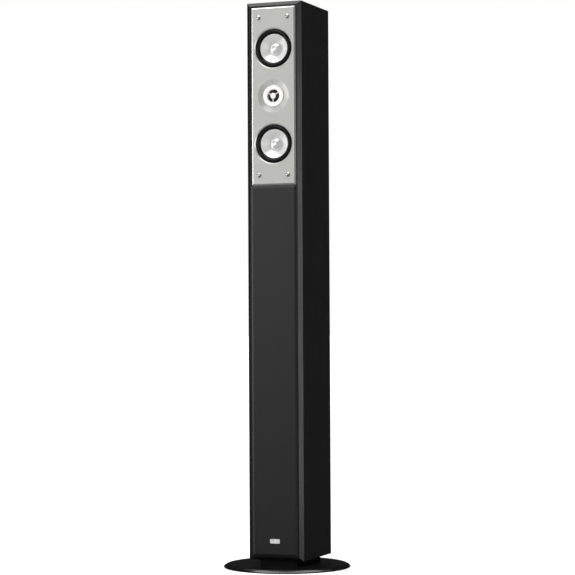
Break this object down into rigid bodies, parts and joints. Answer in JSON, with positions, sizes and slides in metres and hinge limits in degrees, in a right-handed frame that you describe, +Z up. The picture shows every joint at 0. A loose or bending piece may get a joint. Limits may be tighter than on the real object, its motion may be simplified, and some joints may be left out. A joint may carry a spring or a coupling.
{
  "type": "floorstanding speaker",
  "caption": "Slim black tower loudspeaker with a silver driver plate, small woofers either side of a ringed tweeter, on a round steel foot.",
  "frame": {"origin": "on the floor, at the centre of the round foot", "axes": "+Z up along the tower, the driver face looks along -Y, +X is the speaker's left as seen from behind it"},
  "size_m": [0.236, 0.236, 1.048],
  "materials": {
    "black_chamfer": "black semi-gloss foil, fine vertical grain",
    "black_ash": "black ash foil over board, satin, fine vertical grain",
    "black_ash_back": "black foil, matt",
    "raw_board": "raw fibreboard",
    "wadding": "white polyester fibre",
    "black_plastic": "moulded, fine texture",
    "silver_plate": "satin anodised, fine blasted",
    "bright_screw": "polished",
    "graphite_panel": "graphite, satin",
    "badge_metal": "brushed",
    "plinth_black": "matt black",
    "base_enamel": "semi-gloss black enamel",
    "pad_rubber": "matt",
    "zinc_steel": "zinc plated",
    "foam_black": "closed-cell foam",
    "pearl_ring": "pearl silver, semi-gloss",
    "dome_silk": "coated silk",
    "copper_winding": "enamelled copper wire",
    "ferrite": "ferrite, ground",
    "brass_part": "gold-flashed brass",
    "black_screw": "black oxide",
    "board_laminate": "circuit-board laminate",
    "nylon_white": "nylon",
    "capacitor_film": "wrapped film",
    "resistor_ceramic": "unglazed ceramic",
    "cable_jacket": "PVC jacket",
    "red_plastic": "translucent red over brass",
    "cap_black_plastic": "gloss black over brass",
    "basket_cast": "cast alloy, black powder coat",
    "surround_rubber": "butyl, satin",
    "pearl_cone": "pearl silver",
    "polished_cap": "polished",
    "spider_cloth": "resin-treated cotton"
  },
  "bodies": {
    "cabinet": {"front_baffle": "black_chamfer", "left_side_panel": "black_ash", "right_side_panel": "black_ash", "top_panel": "black_ash", "bottom_panel": "black_ash", "back_panel": "black_ash_back", "window_braces": "raw_board", "acoustic_wadding": "wadding", "port_tube": "black_plastic", "driver_plate": "silver_plate", "driver_plate_screws": "bright_screw", "lower_front_panel": "graphite_panel", "badge": "badge_metal", "plinth": "plinth_black", "base_plate": "base_enamel", "base_pads": "pad_rubber", "plinth_screws": "zinc_steel", "driver_screws": "zinc_steel", "driver_gaskets": "foam_black", "tweeter_faceplate": "pearl_ring", "tweeter_phase_plug": "pearl_ring", "tweeter_top_plate": "zinc_steel", "tweeter_magnet": "ferrite", "tweeter_yoke": "zinc_steel", "terminal_cup": "black_plastic", "terminal_cup_screws": "black_screw", "terminal_nuts": "brass_part", "crossover_board": "board_laminate", "crossover_standoffs": "nylon_white", "crossover_inductor": "copper_winding", "crossover_capacitors": "capacitor_film", "crossover_resistor": "resistor_ceramic", "driver_harness": "cable_jacket", "input_leads": "cable_jacket", "positive_post": "brass_part", "negative_post": "brass_part", "lower_woofer_basket": "basket_cast", "lower_woofer_top_plate": "zinc_steel", "lower_woofer_magnet": "ferrite", "lower_woofer_yoke": "zinc_steel", "upper_woofer_basket": "basket_cast", "upper_woofer_top_plate": "zinc_steel", "upper_woofer_magnet": "ferrite", "upper_woofer_yoke": "zinc_steel"},
    "lower_woofer_diaphragm": {"lower_woofer_cone": "pearl_cone", "lower_woofer_dust_cap": "polished_cap", "lower_woofer_voice_coil": "copper_winding", "lower_woofer_surround": "surround_rubber", "lower_woofer_spider": "spider_cloth"},
    "upper_woofer_diaphragm": {"upper_woofer_cone": "pearl_cone", "upper_woofer_dust_cap": "polished_cap", "upper_woofer_voice_coil": "copper_winding", "upper_woofer_surround": "surround_rubber", "upper_woofer_spider": "spider_cloth"},
    "tweeter_diaphragm": {"tweeter_dome": "dome_silk", "tweeter_voice_coil": "copper_winding"},
    "positive_washer_body": {"positive_washer": "brass_part"},
    "positive_cap_body": {"positive_cap": "red_plastic"},
    "negative_washer_body": {"negative_washer": "brass_part"},
    "negative_cap_body": {"negative_cap": "cap_black_plastic"}
  },
  "joints": [
    {"name": "lower_woofer_stroke", "type": "slide", "parent": "cabinet", "child": "lower_woofer_diaphragm", "axis": [0, -1, 0], "range_m": [-0.003, 0.003], "stiffness_N_per_m": 1000, "deforming": ["lower_woofer_surround", "lower_woofer_spider"]},
    {"name": "upper_woofer_stroke", "type": "slide", "parent": "cabinet", "child": "upper_woofer_diaphragm", "axis": [0, -1, 0], "range_m": [-0.003, 0.003], "stiffness_N_per_m": 1000, "deforming": ["upper_woofer_surround", "upper_woofer_spider"]},
    {"name": "tweeter_stroke", "type": "slide", "parent": "cabinet", "child": "tweeter_diaphragm", "axis": [0, -1, 0], "range_m": [-0.0004, 0.0004], "stiffness_N_per_m": 2000, "deforming": ["tweeter_dome"]},
    {"name": "positive_clamp", "type": "slide", "parent": "cabinet", "child": "positive_washer_body", "axis": [0, 1, 0], "range_m": [0, 0.004]},
    {"name": "positive_cap_turn", "type": "hinge", "parent": "positive_washer_body", "child": "positive_cap_body", "pos_m": [-0.0095, 0.0861, 0.105], "axis": [0, 1, 0], "range_deg": [0, 1800]},
    {"name": "negative_clamp", "type": "slide", "parent": "cabinet", "child": "negative_washer_body", "axis": [0, 1, 0], "range_m": [0, 0.004]},
    {"name": "negative_cap_turn", "type": "hinge", "parent": "negative_washer_body", "child": "negative_cap_body", "pos_m": [0.0095, 0.0861, 0.105], "axis": [0, 1, 0], "range_deg": [0, 1800]}
  ],
  "couplings": [
    {"joint": "positive_cap_turn", "follows": "positive_clamp", "rad_per_m": 7854},
    {"joint": "negative_cap_turn", "follows": "negative_clamp", "rad_per_m": 7854}
  ]
}
